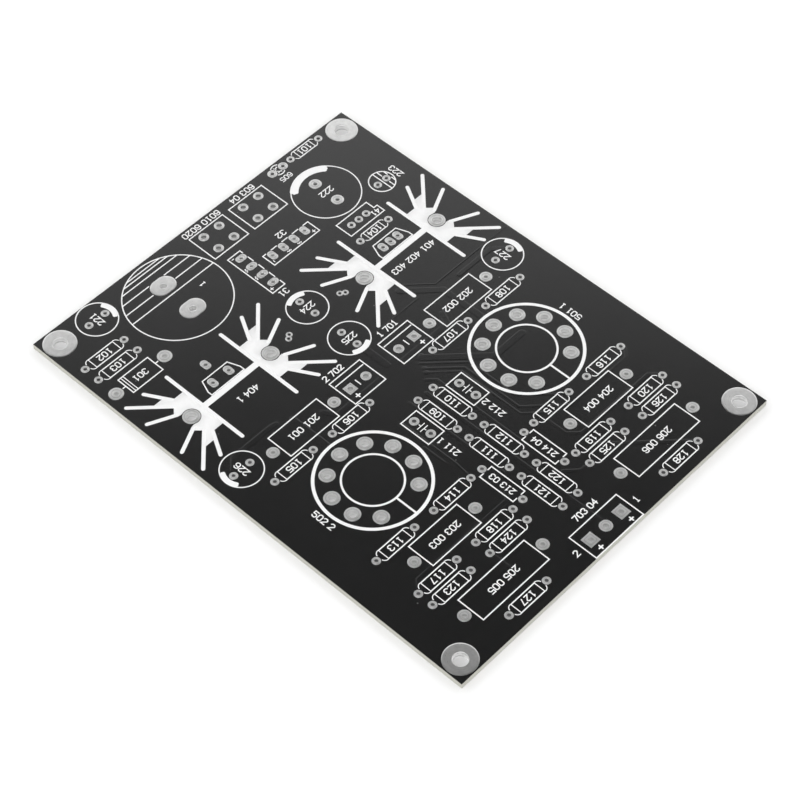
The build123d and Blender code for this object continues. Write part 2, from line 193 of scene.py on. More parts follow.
tin = Finish("tinned_copper", Metallic=1.0)
turned = tin.node("Attribute", {"attribute_name": "turned"}, {}, "Vector")
# Painted shade: a share for each point that darkens the barrels and the groove floors towards a near
# black.
painted_hole_shade = tin.node("Attribute", {"attribute_name": "painted_hole_shade"}, {}, "Fac")
swirl = tin.noise(turned, scale=2.2, detail=3.0)
mottle = tin.noise(tin.place(), scale=900, detail=4.0)
pitting = tin.noise(tin.place(), scale=5200, detail=2.0)
tin_tone = tin.blend(mottle * 0.6 + swirl * 0.4, tin_dark, tin_light)
# The base colour takes the painted shade in the barrels and groove floors.
tin.paint(
    Base_Color=tin.blend(painted_hole_shade, tin_tone, barrel_painted_shade),
    Roughness=tin.between(swirl * 0.5 + pitting * 0.5, low=0.22, high=0.38),
    Normal=tin.bump(swirl * 0.7 + pitting * 0.3, strength=0.25, depth=0.03 * mm),
)

# How the swirl's noise is laid: round the hole, with another start at each one, and for each mm inwards.
grain_round = 0.35
grain_start = 3.7
grain_inwards = 2.4


def tinned(name, node, across, bore, barrel_shade_share, corner=None, sides=40, groove=True):
    """Round rings, or square or oblong ones where the corner's radius is given, and their barrels, with a
    share of painted shade in each barrel.
    """
    points, faces, grain, painted_shade_shares = [], [], [], []
    for index, (x, y, length, width, lean) in enumerate(solids(node)):
        radius = (across / 2 if corner is None else corner) - tin_drawn_back
        core = (0, 0) if corner is None else (length / 2 - corner, width / 2 - corner)
        half = min(across, length, width) / 2 - bore / 2
        pads.append((x, y, *core, radius))
        bores.append((x, y, bore / 2))
        profile = tin_edge + (tin_groove if groove else tin_flat) + tin_lip
        rows = [(share, topside + lift * tin_height) for share, lift in profile]
        rows += [(share, underside + topside - height) for share, height in reversed(rows)]
        start = len(points)
        for share, height in rows:
            for i in range(sides):
                angle = 2 * math.pi * (i + 0.5) / sides
                cos, sin = math.cos(angle), math.sin(angle)
                outer_x = math.copysign(core[0], cos) + radius * cos
                outer_y = math.copysign(core[1], sin) + radius * sin
                points.append((
                    x + outer_x * (1 - share) + bore / 2 * cos * share,
                    y + outer_y * (1 - share) + bore / 2 * sin * share,
                    height,
                ))
                grain.append((
                    cos * grain_round + index * grain_start,
                    sin * grain_round,
                    share * half / mm * grain_inwards,
                ))
                in_groove = groove and share in groove_floor
                # Painted shade: the kind's share on the barrel's row, and a fixed share on the groove
                # floor.
                painted_shade_shares.append(barrel_shade_share if share == 1 else groove_shade_share * in_groove)
        for row in range(len(rows) - 1):
            for i in range(sides):
                a = start + row * sides + i
                b = start + row * sides + (i + 1) % sides
                faces.append((a, b, b + sides, a + sides))
    piece = add(name, points, faces, [tin], [node])
    piece.data.polygons.foreach_set("use_smooth", [True] * len(faces))
    lines = piece.data.attributes.new("turned", "FLOAT_VECTOR", "POINT")
    lines.data.foreach_set("vector", [value for point in grain for value in point])
    # The painted shade shares, stored for the tin's material.
    depth = piece.data.attributes.new("painted_hole_shade", "FLOAT", "POINT")
    depth.data.foreach_set("value", painted_shade_shares)


# Each kind has the width across its ring, its bore, and the share of painted shade that darkens its
# barrel, from 0 to 1.
tinned("mounting_holes", "mounting_hole_rings", 8.1 * mm, 3.5 * mm, 0, sides=64, groove=False)
tinned("heat_sink_peg_holes", "heat_sink_peg_pads", 4.2 * mm, 2.3 * mm, 0)
tinned("valve_socket_holes_left", "valve_socket_pads_left", 3.85 * mm, 1.9 * mm, 0)
tinned("valve_socket_holes_right", "valve_socket_pads_right", 3.85 * mm, 1.9 * mm, 0)
tinned("diode_holes", "diode_pads", 3.6 * mm, 1.3 * mm, 0)
tinned("smoothing_capacitor_holes", "smoothing_capacitor_pads", 3.2 * mm, 1.0 * mm, 0.45)
tinned("film_capacitor_holes", "film_capacitor_pads", 3.1 * mm, 1.0 * mm, 0.15)
tinned("power_terminal_holes", "power_terminal_pads", 2.6 * mm, 1.3 * mm, 0.4)
tinned("output_ground_holes", "output_ground_pads", 2.6 * mm, 1.3 * mm, 0.2)
tinned("output_signal_holes", "output_signal_pads", 2.6 * mm, 1.3 * mm, 0.2, corner=0.1 * mm)
tinned("input_ground_hole", "input_ground_pad", 3.15 * mm, 1.3 * mm, 0.2)
tinned("input_signal_holes", "input_signal_pads", 3.15 * mm, 1.3 * mm, 0.2, corner=0.1 * mm)
tinned("reservoir_holes", "reservoir_pads", 5.2 * mm, 1.8 * mm, 0, 2.6 * mm, sides=56, groove=False)
tinned("bridge_holes", "bridge_pads", 2.0 * mm, 0.9 * mm, 0.1, corner=1.0 * mm)
tinned("regulator_holes", "regulator_pads", 2.0 * mm, 0.9 * mm, 0.35, corner=1.0 * mm)
tinned("plate_capacitor_holes", "plate_capacitor_pads", 2.4 * mm, 1.0 * mm, 0.7)
tinned("lamp_holes", "lamp_pads", 2.5 * mm, 0.9 * mm, 0.6)
tinned("link_holes", "link_pads", 1.65 * mm, 0.75 * mm, 0.8, sides=32)
for node, barrel_shade_share in {
    "channel_resistor_pads": 0.65,
    "middle_resistor_pads": 0.65,
    "supply_resistor_pads": 0.65,
    "long_capacitor_pads": 0.5,
    "electrolytic_pads": 0.55,
    "small_round_capacitor_pads": 0.65,
    "trimmer_pads": 0.7,
}.items():
    tinned(node.replace("pads", "holes"), node, 2.1 * mm, 0.9 * mm, barrel_shade_share, sides=32)

# Laminate. Woven glass and epoxy pressed into a sheet and drilled, then coated on both faces with black
# solder mask. The mask is cured before the board is sawn out, so the pale glass shows at its edges.
barrel_wall = 0.05 * mm
hole_sides = 32
(left, front), (right, back) = [corner[:2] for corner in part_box("laminate")]
mask_dark = (0.002, 0.002, 0.002)
mask_light = (0.004, 0.004, 0.004)
dust_grey = (0.2, 0.2, 0.2)
dust_cover = 0.4
dust_roughness = 0.3
glass_dark = (0.33, 0.325, 0.285)
glass_light = (0.55, 0.545, 0.49)
ply_stretch = (0.25, 0.25, 4.0)

mask = Finish("solder_mask", IOR=1.5)
flow = mask.noise(mask.place(), scale=120, detail=3.0)
skin = mask.noise(mask.place(), scale=2600, detail=3.0)
cloth = mask.node("TexBrick", {}, {"Vector": mask.place(), "Scale": 700}, "Fac")
dust = mask.node("TexVoronoi", {}, {"Vector": mask.place(), "Scale": 150, "Randomness": 1.0}, "Distance")
speck = 1 - mask.ramp(dust, low=0.015, high=0.035)
tone = mask.blend(flow, mask_dark, mask_light)
mask.paint(
    Base_Color=mask.blend(speck * dust_cover, tone, dust_grey),
    Roughness=mask.between(flow * 0.4 + skin * 0.6, low=0.09, high=0.19) + speck * dust_roughness,
    Normal=mask.bump(skin + cloth + speck, strength=0.45, depth=0.015 * mm),
)

glass = Finish("glass_fibre", Roughness=0.7)
stretched = glass.node("Mapping", {}, {"Vector": glass.place(), "Scale": ply_stretch})
plies = glass.noise(stretched, scale=1800, detail=3.0)
sawn = glass.noise(glass.place(), scale=3000, detail=3.0)
glass.paint(
    Base_Color=glass.blend(plies * 0.7 + sawn * 0.3, glass_dark, glass_light),
    Normal=glass.bump(plies + sawn, strength=0.4, depth=0.04 * mm),
)

outline = bpy.data.curves.new("laminate", "CURVE")
outline.dimensions = "2D"
outline.fill_mode = "BOTH"
outline.extrude = (topside - underside) / 2
rims = [[(left, front), (right, front), (right, back), (left, back)]]
for x, y, radius in bores:
    drilled = radius + barrel_wall
    turns = [2 * math.pi * (i + 0.5) / hole_sides for i in range(hole_sides)]
    rims.append([(x + drilled * math.cos(a), y + drilled * math.sin(a)) for a in turns])
for rim in rims:
    spline = outline.splines.new("POLY")
    spline.points.add(len(rim) - 1)
    spline.use_cyclic_u = True
    for point, (x, y) in zip(spline.points, rim):
        point.co = (x, y, 0, 1)
cutting = bpy.data.objects.new("cutting", outline)
sheet = bpy.data.meshes.new_from_object(cutting)
bpy.data.objects.remove(cutting)
middle = (topside + underside) / 2
points = [(point.co.x, point.co.y, point.co.z + middle) for point in sheet.vertices]
faces = [tuple(face.vertices) for face in sheet.polygons]
laminate = add("laminate_and_mask", points, faces, [mask, glass], ["laminate"])
for face in laminate.data.polygons:
    face.material_index = 0 if abs(face.normal.z) > 0.5 else 1
bpy.data.meshes.remove(sheet)

# Copper tracks. They are etched from the foil on the laminate before the mask is laid over them, so
# they show only as low ridges in it. The smallest rings are vias, which the mask covers too.
track_height = 0.035 * mm
track_lap = 0.2 * mm
via_radius = 0.42 * mm
via_line = 0.22 * mm
via_rise = 1.5
# A track's side: mm outwards from its edge, with shares of its height, from the outside in.
track_side = ((0.1, 0.0), (0.05, 0.08), (0.01, 0.4), (-0.04, 0.85), (-0.09, 1.0), (-0.14, 1.0))

end_steps = 6
sharpest_mitre = 0.4
widest_pad = 6 * mm
sample = 0.08 * mm
same_spot = 0.0005 * mm
facing_up = 0.2


class Relief:
    """Points and faces of one raised figure, drawn line by line on the mask."""

    def __init__(self):
        self.points = []
        self.faces = []

    def line(self, path, profile, closed=False):
        """A ridge along a path, with mitred corners and round ends. The profile of its two like sides
        has distances outwards from the path and heights, from the edge inwards."""
        path = [Vector(point) for point in path]
        across = [(-out, lift) for out, lift in profile] + [(out, lift) for out, lift in reversed(profile)]
        count = len(path)
        size = len(across)
        start = len(self.points)
        sides = []
        for i, point in enumerate(path):
            before = (point - path[i - 1]).normalized() if closed or i > 0 else None
            after = (path[(i + 1) % count] - point).normalized() if closed or i < count - 1 else None
            before = before or after
            after = after or before
            along = (before + after).normalized()
            side = Vector((along.y, -along.x)) / max(sharpest_mitre, along.dot(after))
            sides.append(side)
            for out, lift in across:
                spot = point + side * out
                self.points.append((spot.x, spot.y, topside + lift))
        for i in range(count if closed else count - 1):
            for j in range(size):
                a = start + i * size
                b = start + (i + 1) % count * size
                self.faces.append((a + j, a + (j + 1) % size, b + (j + 1) % size, b + j))
        if not closed:
            self.end(path[0], sides[0], profile)
            self.end(path[-1], -sides[-1], profile)

    def end(self, middle, side, profile):
        """The round end of a line, turned from one of its sides to the other."""
        start = len(self.points)
        rows = [(out, lift) for out, lift in profile if out > 0]
        for k in range(end_steps + 1):
            swung = Matrix.Rotation(math.pi * k / end_steps, 2) @ -side
            for out, lift in rows:
                spot = middle + swung * out
                self.points.append((spot.x, spot.y, topside + lift))
        self.points.append((middle.x, middle.y, topside + profile[-1][1]))
        peak = len(self.points) - 1
        for k in range(end_steps):
            for j in range(len(rows)):
                a = start + k * len(rows) + j
                b = a + len(rows)
                if j < len(rows) - 1:
                    self.faces.append((a, b, b + 1, a + 1))
                else:
                    self.faces.append((a, b, peak))
        self.faces.append(tuple(start + k * len(rows) for k in range(end_steps + 1)))

    def area(self, path, height):
        """A filled area with upright edges."""
        start = len(self.points)
        count = len(path)
        for level in (topside, topside + height):
            self.points.extend((x, y, level) for x, y in path)
        for i in range(count):
            after = (i + 1) % count
            self.faces.append((start + i, start + after, start + count + after, start + count + i))
        self.faces.append(tuple(range(start, start + count)))
        self.faces.append(tuple(range(start + count, start + 2 * count)))

    def save(self, name, finish, nodes, slot):
        piece = add(name, self.points, self.faces, [finish], nodes)
        welded = bmesh.new()
        welded.from_mesh(piece.data)
        bmesh.ops.remove_doubles(welded, verts=welded.verts, dist=same_spot)
        bmesh.ops.triangulate(welded, faces=[face for face in welded.faces if len(face.verts) > 4])
        bmesh.ops.recalc_face_normals(welded, faces=welded.faces)
        for face in welded.faces:
            face.smooth = face.normal.z > facing_up
        welded.to_mesh(piece.data)
        welded.free()


def at(x, y):
    """A place on the board by its distances in mm from the supply end and from the middle line."""
    return (left + x * mm, y * mm)


def arc(x, y, radius, first, last, steps):
    """Points round a circle from one angle to another, in degrees."""
    angles = [math.radians(first + (last - first) * i / steps) for i in range(steps + 1)]
    return [(x + radius * math.cos(a), y + radius * math.sin(a)) for a in angles]


def circle(x, y, radius, steps):
    """Points all round a circle, for a closed line."""
    return arc(x, y, radius, 0, 360, steps)[:-1]


def clear_runs(path, margin):
    """The parts of a path that lie further than the margin from the edge of every pad."""
    low_x, low_y = (min(values) - widest_pad for values in zip(*path))
    high_x, high_y = (max(values) + widest_pad for values in zip(*path))
    near = [pad for pad in pads if low_x < pad[0] < high_x and low_y < pad[1] < high_y]
    spots = []
    for first, second in zip(path, path[1:]):
        steps = max(1, math.ceil(math.dist(first, second) / sample))
        spots += [(Vector(first).lerp(Vector(second), i / steps), i == 0) for i in range(steps)]
    spots.append((Vector(path[-1]), True))
    free = [False]
    for spot, corner in spots:
        gaps = []
        for x, y, core_x, core_y, radius in near:
            beyond_x = max(abs(spot.x - x) - core_x, 0)
            beyond_y = max(abs(spot.y - y) - core_y, 0)
            gaps.append(math.hypot(beyond_x, beyond_y) - radius)
        free.append(min(gaps, default=margin) >= margin)
    free.append(False)
    runs = []
    for i, (spot, corner) in enumerate(spots):
        if free[i + 1] and not free[i]:
            runs.append([])
        if free[i + 1] and (corner or not free[i] or not free[i + 2]):
            runs[-1].append(tuple(spot))
    return [run for run in runs if len(run) > 1]


def track(figure, width, *route):
    """A track of a width in mm along a route of places. It runs a little way under each ring."""
    side = [(width / 2 * mm + out * mm, lift * track_height) for out, lift in track_side]
    for run in clear_runs([at(*point) for point in route], width / 2 * mm - track_lap):
        figure.line(run, side)


tracks = Relief()
track(tracks, 1.7, (50.6, 18.1), (57.9, 25.45), (73.6, 25.45))
track(tracks, 1.2, (57.4, 31.6), (57.4, 42.4), (60.6, 45.6))
track(tracks, 1.8, (68.1, 7.1), (79.9, 18.9), (79.9, 28.2))
track(tracks, 0.6, (69.0, 5.6), (76.9, 13.5), (91.0, 13.5), (99.1, 21.6))
track(tracks, 0.6, (70.7, 5.2), (77.1, 11.6), (93.7, 11.6), (102.1, 20.0), (102.1, 39.0), (99.8, 41.3))
track(tracks, 0.6, (71.8, 4.6), (77.5, 10.3), (95.2, 10.3), (98.9, 14.0))
track(tracks, 0.8, (73.2, 2.9), (75.0, 4.7), (100.8, 4.7), (103.2, 2.5))
track(tracks, 1.0, (75.9, 0.3), (129.1, 0.3))
track(tracks, 1.9, (54.4, 0.1), (63.6, 0.1))
track(tracks, 1.3, (65.5, 3.2), (65.5, 18.6), (62.5, 20.0))
track(tracks, 1.0, (101.0, 13.0), (106.4, 13.0), (109.0, 15.6), (109.0, 38.4), (111.4, 40.7))
track(tracks, 1.0, (113.2, 15.4), (129.1, 31.3))
track(tracks, 0.9, (112.8, 4.8), (115.6, 7.6), (115.6, 10.5))
track(tracks, 1.3, (57.3, -29.1), (57.0, -30.5), (57.0, -42.0), (60.4, -45.4))
track(tracks, 1.3, (58.8, -25.45), (73.6, -25.45))
track(tracks, 1.3, (65.5, -3.2), (65.5, -18.0), (62.5, -19.6))
track(tracks, 0.8, (75.0, -4.4), (103.2, -4.4))
track(tracks, 0.6, (77.5, -9.8), (94.0, -9.8), (99.1, -10.4))
track(tracks, 0.6, (86.0, -11.3), (92.0, -11.3))
track(tracks, 1.0, (111.4, -40.2), (109.0, -37.8), (109.0, -9.4), (106.8, -7.2))
track(tracks, 1.1, (115.6, -22.5), (121.5, -22.5))
for x, y in ((57.45, 31.5), (57.3, -29.1), (67.6, 7.5), (70.7, 5.2), (71.8, 4.6)):
    via_side = [(via_line + out * mm, lift * track_height * via_rise) for out, lift in track_side[:3]]
    tracks.line(circle(*at(x, y), via_radius, steps=20), via_side, closed=True)
track(tracks, 0.3, (55.3, 50.0), (55.3, 25.5), (50.0, 20.2))
track(tracks, 0.3, (55.3, 19.8), (55.3, 6.0))
tracks.save("tracks_under_mask", mask, [], "solder_mask")

# White print. It is epoxy ink, screened on the cured mask in one pass. Its lines have the round ends of
# the nib that they were plotted with, the ink lies a little higher along their middle, and they stop
# short of the pads.
ink_height = 0.045 * mm
ink_line = 0.3 * mm
fine_line = 0.22 * mm
ink_clearance = 0.15 * mm
# Half a line's section: shares of its half width, with shares of the ink's height.
nib = ((1.0, 0.0), (0.95, 0.8), (0.6, 0.95), (0.0, 1.0))
ink_thin = (0.78, 0.78, 0.78)
ink_full = (0.88, 0.88, 0.88)

ink = Finish("screen_print", IOR=1.45)
screen = ink.noise(ink.place(), scale=2400, detail=3.0)
thin = ink.noise(ink.place(), scale=500, detail=2.0)
ink.paint(
    Base_Color=ink.blend(screen * 0.5 + thin * 0.5, ink_thin, ink_full),
    Roughness=ink.between(screen, low=0.45, high=0.7),
    Normal=ink.bump(screen, strength=0.3, depth=0.02 * mm),
)


class Print(Relief):
    """One printed figure."""

    def draw(self, path, width=ink_line, closed=False, clearance=ink_clearance):
        side = [(width / 2 * share, lift * ink_height) for share, lift in nib]
        whole = [*path, path[0]] if closed else path
        runs = clear_runs(whole, clearance + width / 2)
        if closed and len(runs) == 1 and len(runs[0]) == len(whole):
            self.line(path, side, closed=True)
            return
        for run in runs:
            self.line(run, side)

    def box(self, x, y, length, width):
        """A rectangle by its middle and its overall size."""
        along = (length - ink_line) / 2
        across = (width - ink_line) / 2
        corners = ((1, 1), (-1, 1), (-1, -1), (1, -1))
        self.draw([(x + a * along, y + b * across) for a, b in corners], closed=True)

    def keep(self, name, *nodes):
        self.save(name, ink, nodes, "screen_print")


# Heat-sink figures, in the same white ink. Each shows the extruded section of a heat sink: a stem
# between two bars, and on each bar a block, open round the hole for its peg, with six fins.
sink_line = 0.95 * mm
stem_line = 1.62 * mm
stem_shift = 0.06 * mm
block_height = 0.8 * ink_height
# Places in mm, across from the figure's middle line and along from its middle.
sink_bar = (12.3, 8.55)
peg_place = 12.5
peg_gap_radius = 2.25
block_side = [(0, 8.3), (6.5, 8.3), (6.5, 11.6), (8.4, 12.95), (8.4, 16.6), (4.6, 13.6), (3.3, 14.8)]
block_side += [(2.05, 14.1)]
peg_gap = arc(0, peg_place * mm, peg_gap_radius * mm, first=24, last=-90, steps=14)
block_side += [(across / mm, along / mm) for across, along in peg_gap]
fins = (((6.37, 12.06), (12.5, 15.5)), ((4.9, 13.25), (12.5, 20.85)), ((2.62, 14.35), (5.7, 20.85)))
sinks = Print()
for x, y, length, width, lean in solids("heat_sink_print"):
    stem = x - stem_shift
    stem_reach = sink_bar[1] * mm
    sinks.draw([(stem, y - stem_reach), (stem, y + stem_reach)], stem_line)
    for end in (1, -1):
        def spot(across, along):
            return (x + across * mm, y + end * along * mm)

        sinks.draw([spot(-sink_bar[0], sink_bar[1]), spot(*sink_bar)], sink_line)
        for side in (1, -1):
            sinks.area([spot(side * across, along) for across, along in block_side], block_height)
            for root, tip in fins:
                sinks.draw([spot(side * root[0], root[1]), spot(side * tip[0], tip[1])], sink_line)
sinks.keep("heat_sink_figures", "heat_sink_print")

# Valve-socket rings, in the same white ink: one ring outside the circle of pins and one inside it. A
# line joins them across the place where the socket has no pin.
socket_outer = 13.25 * mm
socket_inner = 7.05 * mm
socket_outer_line = 0.8 * mm
socket_inner_line = 0.5 * mm
sockets = Print()
for x, y, length, width, lean in solids("valve_socket_print"):
    sockets.draw(circle(x, y, socket_outer, steps=96), socket_outer_line, closed=True)
    sockets.draw(circle(x, y, socket_inner, steps=72), socket_inner_line, closed=True)
    sockets.draw([(x + socket_inner, y), (x + socket_outer, y)], socket_inner_line)
sockets.keep("valve_socket_rings", "valve_socket_print")

# Resistor outlines, in the same white ink: the straight body of a resistor that lies between its two
# holes, with a domed cap at each end, which stops short of the pad.
dome_radius = 1.12 * mm
dome_bulge = 0.08 * mm
dome_neck = 0.15 * mm
dome_steps = 8
resistors = solids("resistor_print")
bodies = Print()
for x, y, length, width, lean in resistors:
    turn = Matrix.Rotation(math.radians(90 if width > length else 0), 2)
    long, wide = sorted((length - ink_line, width - ink_line), reverse=True)

    def spot(along, across):
        place = turn @ Vector((along, across))
        return (x + place.x, y + place.y)

    for side in (1, -1):
        near = side * long / 2
        bodies.draw([spot(-long / 2, side * wide / 2), spot(long / 2, side * wide / 2)])
        bodies.draw([spot(near, -wide / 2), spot(near, wide / 2)], fine_line)
        shoulder = wide / 2 + dome_bulge - dome_radius
        dome = [(0, wide / 2)] + arc(dome_neck, shoulder, dome_radius, 90, 0, dome_steps)
        dome += [(along, -across) for along, across in reversed(dome)]
        bodies.draw([spot(near + side * along, across) for along, across in dome], fine_line)
bodies.keep("resistor_outlines", "resistor_print")

# Round capacitor outlines, in the same white ink: a circle for the can, with a thick arc inside it
# beside the marked lead, drawn in strokes that overlap. The smallest has three stripes instead.
smoothing_least = 6 * mm
electrolytic_least = 4 * mm
# Radius in mm of each stroke of the thick arc, with the angle on each side of its middle.
smoothing_strokes = ((7.2, 43), (7.75, 44.5), (8.3, 43))
smoothing_stroke_line = 0.95 * mm
smoothing_overrun = 2
electrolytic_strokes = ((4.12, 31), (4.5, 31))
electrolytic_stroke_line = 0.8 * mm
stripes = (0.05 * mm, 1.22 * mm, 2.6 * mm)
rounds = solids("round_capacitor_print")
circles = Print()
for x, y, length, width, lean in rounds:
    radius = (width - ink_line) / 2
    circles.draw(circle(x, y, radius, steps=72), closed=True)
    facing = 90 * round(math.degrees(math.atan2(lean[1], lean[0])) / 90)
    if radius > smoothing_least:
        for reach, sweep in smoothing_strokes:
            stroke = arc(x, y, reach * mm, facing - sweep, facing + sweep + smoothing_overrun, steps=24)
            circles.draw(stroke, smoothing_stroke_line)
    elif radius > electrolytic_least:
        for reach, sweep in electrolytic_strokes:
            stroke = arc(x, y, reach * mm, facing - sweep, facing + sweep, steps=16)
            circles.draw(stroke, electrolytic_stroke_line)
    else:
        for height in stripes:
            reach = math.sqrt(radius * radius - height * height)
            circles.draw([(x - reach, y + height), (x + reach, y + height)])
circles.keep("round_capacitor_outlines", "round_capacitor_print")

# Reservoir capacitor outline, in the same white ink: a circle for the large can, with the side of its
# negative lead hatched.
hatch_angles = (7, 20.5, 34, 47.5, 57.5, 66)
hatched = Print()
(x, y, length, width, lean), = solids("reservoir_print")
radius = (width - ink_line) / 2
hatched.draw(circle(x, y, radius, steps=96), closed=True)
for angle in hatch_angles:
    across = -radius * math.sin(math.radians(angle))
    reach = radius * math.cos(math.radians(angle))
    hatched.draw([(x + across, y - reach), (x + across, y + reach)])
hatched.keep("reservoir_outline", "reservoir_print")

# Film capacitor outlines, in the same white ink: a box for the moulded block of each capacitor, which
# stands between its two pads.
films = solids("film_capacitor_print")
film_boxes = Print()
for x, y, length, width, lean in films:
    film_boxes.box(x, y, length, width)
film_boxes.keep("film_capacitor_outlines", "film_capacitor_print")

# Small capacitor outlines, in the same white ink: a box round the plate type, with the sign of two
# plates between its leads, and a plain box for the long type.
shortest_box = 3 * mm
shortest_long_box = 9 * mm
plate_reach = 1.15 * mm
plate_place = 0.47 * mm
plate_lead_end = 1.3 * mm
small_boxes = Print()
small_middles = []
for x, y, length, width, lean in solids("small_capacitor_print"):
    if length > shortest_box:
        small_boxes.box(x, y, length, width)
        small_middles.append((x, y, length))
    if shortest_box < length < shortest_long_box:
        for side in (1, -1):
            plate = x + side * plate_place
            small_boxes.draw([(plate, y - plate_reach), (plate, y + plate_reach)], fine_line)
            small_boxes.draw([(plate, y), (x + side * plate_lead_end, y)], fine_line)
small_boxes.keep("small_capacitor_outlines", "small_capacitor_print")

# Terminal outlines, in the same white ink: a box for each screw terminal, with an inner line beside the
# outputs' wire entries, and a plus or a minus beside the signal pads.
sign_line = 0.38 * mm
sign_reach = 0.55 * mm
output_longest = 8.8 * mm
output_widest = 11 * mm
entry_place = 2.6 * mm
entry_reach = 4.45 * mm
minus_start = 0.7 * mm
minus_end = 1.0 * mm
output_plus = (2.6 * mm, 0.15 * mm)
input_plus = (2.85 * mm, 0.1 * mm)


def plus(figure, x, y, reach=sign_reach, width=sign_line):
    figure.draw([(x - reach, y), (x + reach, y)], width)
    figure.draw([(x, y - reach), (x, y + reach)], width)


terminals = Print()
for x, y, length, width, lean in solids("terminal_print"):
    terminals.box(x, y, length, width)
    if length < output_longest and width < output_widest:
        entry = x - entry_place
        terminals.draw([(entry, y - entry_reach), (entry, y + entry_reach)])
        terminals.draw([(x - minus_start, y), (x + minus_end, y)])
for x, y, length, width, lean in solids("output_signal_pads"):
    plus(terminals, x + output_plus[0], y + math.copysign(output_plus[1], y))
for x, y, length, width, lean in solids("input_signal_pads"):
    plus(terminals, x + input_plus[0], y + input_plus[1])
terminals.keep("terminal_outlines", "terminal_print")

# Bridge rectifier outlines, in the same white ink: a box for each flat bridge, which stands over its
# row of four pads, with the signs of its two wave leads, its plus and its minus.
lying_reach = 4 * mm
bridge_sign_reach = 0.42 * mm
wave_line = 0.18 * mm
# Places in mm along and across from the box's middle.
bridge_plus = (6.45, -1.15)
bridge_minus = ((-6.75, -0.8), (-6.75, -1.3))
wave_places = (1.45, -1.95)
wave_across = -1.3
wave_reach = 0.55
wave_swing = 0.2
wave_steps = 8
bridges = Print()
fragments = solids("bridge_print")
front_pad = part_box("bridge_pads")[0][1]
lying = [part for part in fragments if part[1] + part[3] / 2 < front_pad + lying_reach]
upright = [part for part in fragments if part not in lying]
bridge_middles = []
for group in (lying, upright):
    low_x = min(x - length / 2 for x, y, length, width, lean in group)
    high_x = max(x + length / 2 for x, y, length, width, lean in group)
    low_y = min(y - width / 2 for x, y, length, width, lean in group)
    high_y = max(y + width / 2 for x, y, length, width, lean in group)
    x = (low_x + high_x) / 2
    y = (low_y + high_y) / 2
    bridges.box(x, y, high_x - low_x, high_y - low_y)
    bridge_middles.append((x, y))
    turn = Matrix.Rotation(math.radians(0 if group is lying else 90), 2)

    def spot(along, across):
        place = turn @ Vector((along * mm, across * mm))
        return (x + place.x, y + place.y)

    def wave(middle, i):
        swing = wave_swing * math.sin(2 * math.pi * i / wave_steps)
        return spot(middle + wave_reach * i / wave_steps, wave_across + swing)

    plus(bridges, *spot(*bridge_plus), bridge_sign_reach, fine_line)
    bridges.draw([spot(*place) for place in bridge_minus], fine_line)
    for middle in wave_places:
        bridges.draw([wave(middle, i) for i in range(-wave_steps, wave_steps + 1)], wave_line)
bridges.keep("bridge_outlines", "bridge_print")

# Regulator outlines, in the same white ink: the moulded body with its sloping front over the three
# pads, and its back against the heat sink's stem.
back_depth = 1.25 * mm
front_taper = 1.2 * mm
regulators = Print()
for x, y, length, width, lean in solids("regulator_print"):
    back_x = x + (length - ink_line) / 2
    front_x = x - (length - ink_line) / 2
    half = (width - ink_line) / 2
    upper = [(back_x, half), (back_x - back_depth, half), (front_x, half - front_taper)]
    rim = upper + [(along, -across) for along, across in reversed(upper)]
    regulators.draw([(along, y + across) for along, across in rim], closed=True)
regulators.keep("regulator_outlines", "regulator_print")

# Diode, trimmer and lamp outlines, in the same white ink: a body with two bands at the marked end and
# its leads, a box with a step for the screw's corner, and a circle with a sign inside.
trimmer_least = 10 * mm
diode_least = 6 * mm
step_place = 0.05 * mm
step_rise = 1.1 * mm
diode_bands = (0.75 * mm, 1.45 * mm)
diode_lead = 2 * mm
lamp_radius = 1.7 * mm
lamp_sign_line = 0.16 * mm
# Half of the sign, in mm from the lamp's middle.
lamp_sign = ((0.15, -0.5), (1.0, 0.45), (0.75, 0.45), (0.75, -0.45), (1.1, -0.45))
odd = Print()
for x, y, length, width, lean in solids("small_parts_print"):
    low = y - (width - ink_line) / 2
    high = y + (width - ink_line) / 2
    near = x - (length - ink_line) / 2
    far = x + (length - ink_line) / 2
    if width > trimmer_least:
        step = x + step_place
        rise = high + step_rise
        rim = [(near, low), (far, low), (far, rise), (step, rise), (step, high), (near, high)]
        odd.draw(rim, closed=True)
    elif width > diode_least:
        odd.box(x, y, length, width)
        for band in diode_bands:
            odd.draw([(near, low + band), (far, low + band)], fine_line)
        for side in (1, -1):
            odd.draw([(x, y + side * width / 2), (x, y + side * (width / 2 + diode_lead))])
        diode_middle = (x, y)
lamp_low, lamp_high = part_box("lamp_pads")
lamp_x = lamp_low[0] / 2 + lamp_high[0] / 2
lamp_y = lamp_low[1] / 2 + lamp_high[1] / 2
odd.draw(circle(lamp_x, lamp_y, lamp_radius, steps=40), closed=True)
for side in (1, -1):
    sign = [(lamp_x + side * a * mm, lamp_y + b * mm) for a, b in lamp_sign]
    odd.draw(sign, lamp_sign_line, clearance=0)
odd.keep("diode_trimmer_and_lamp_outlines", "small_parts_print")

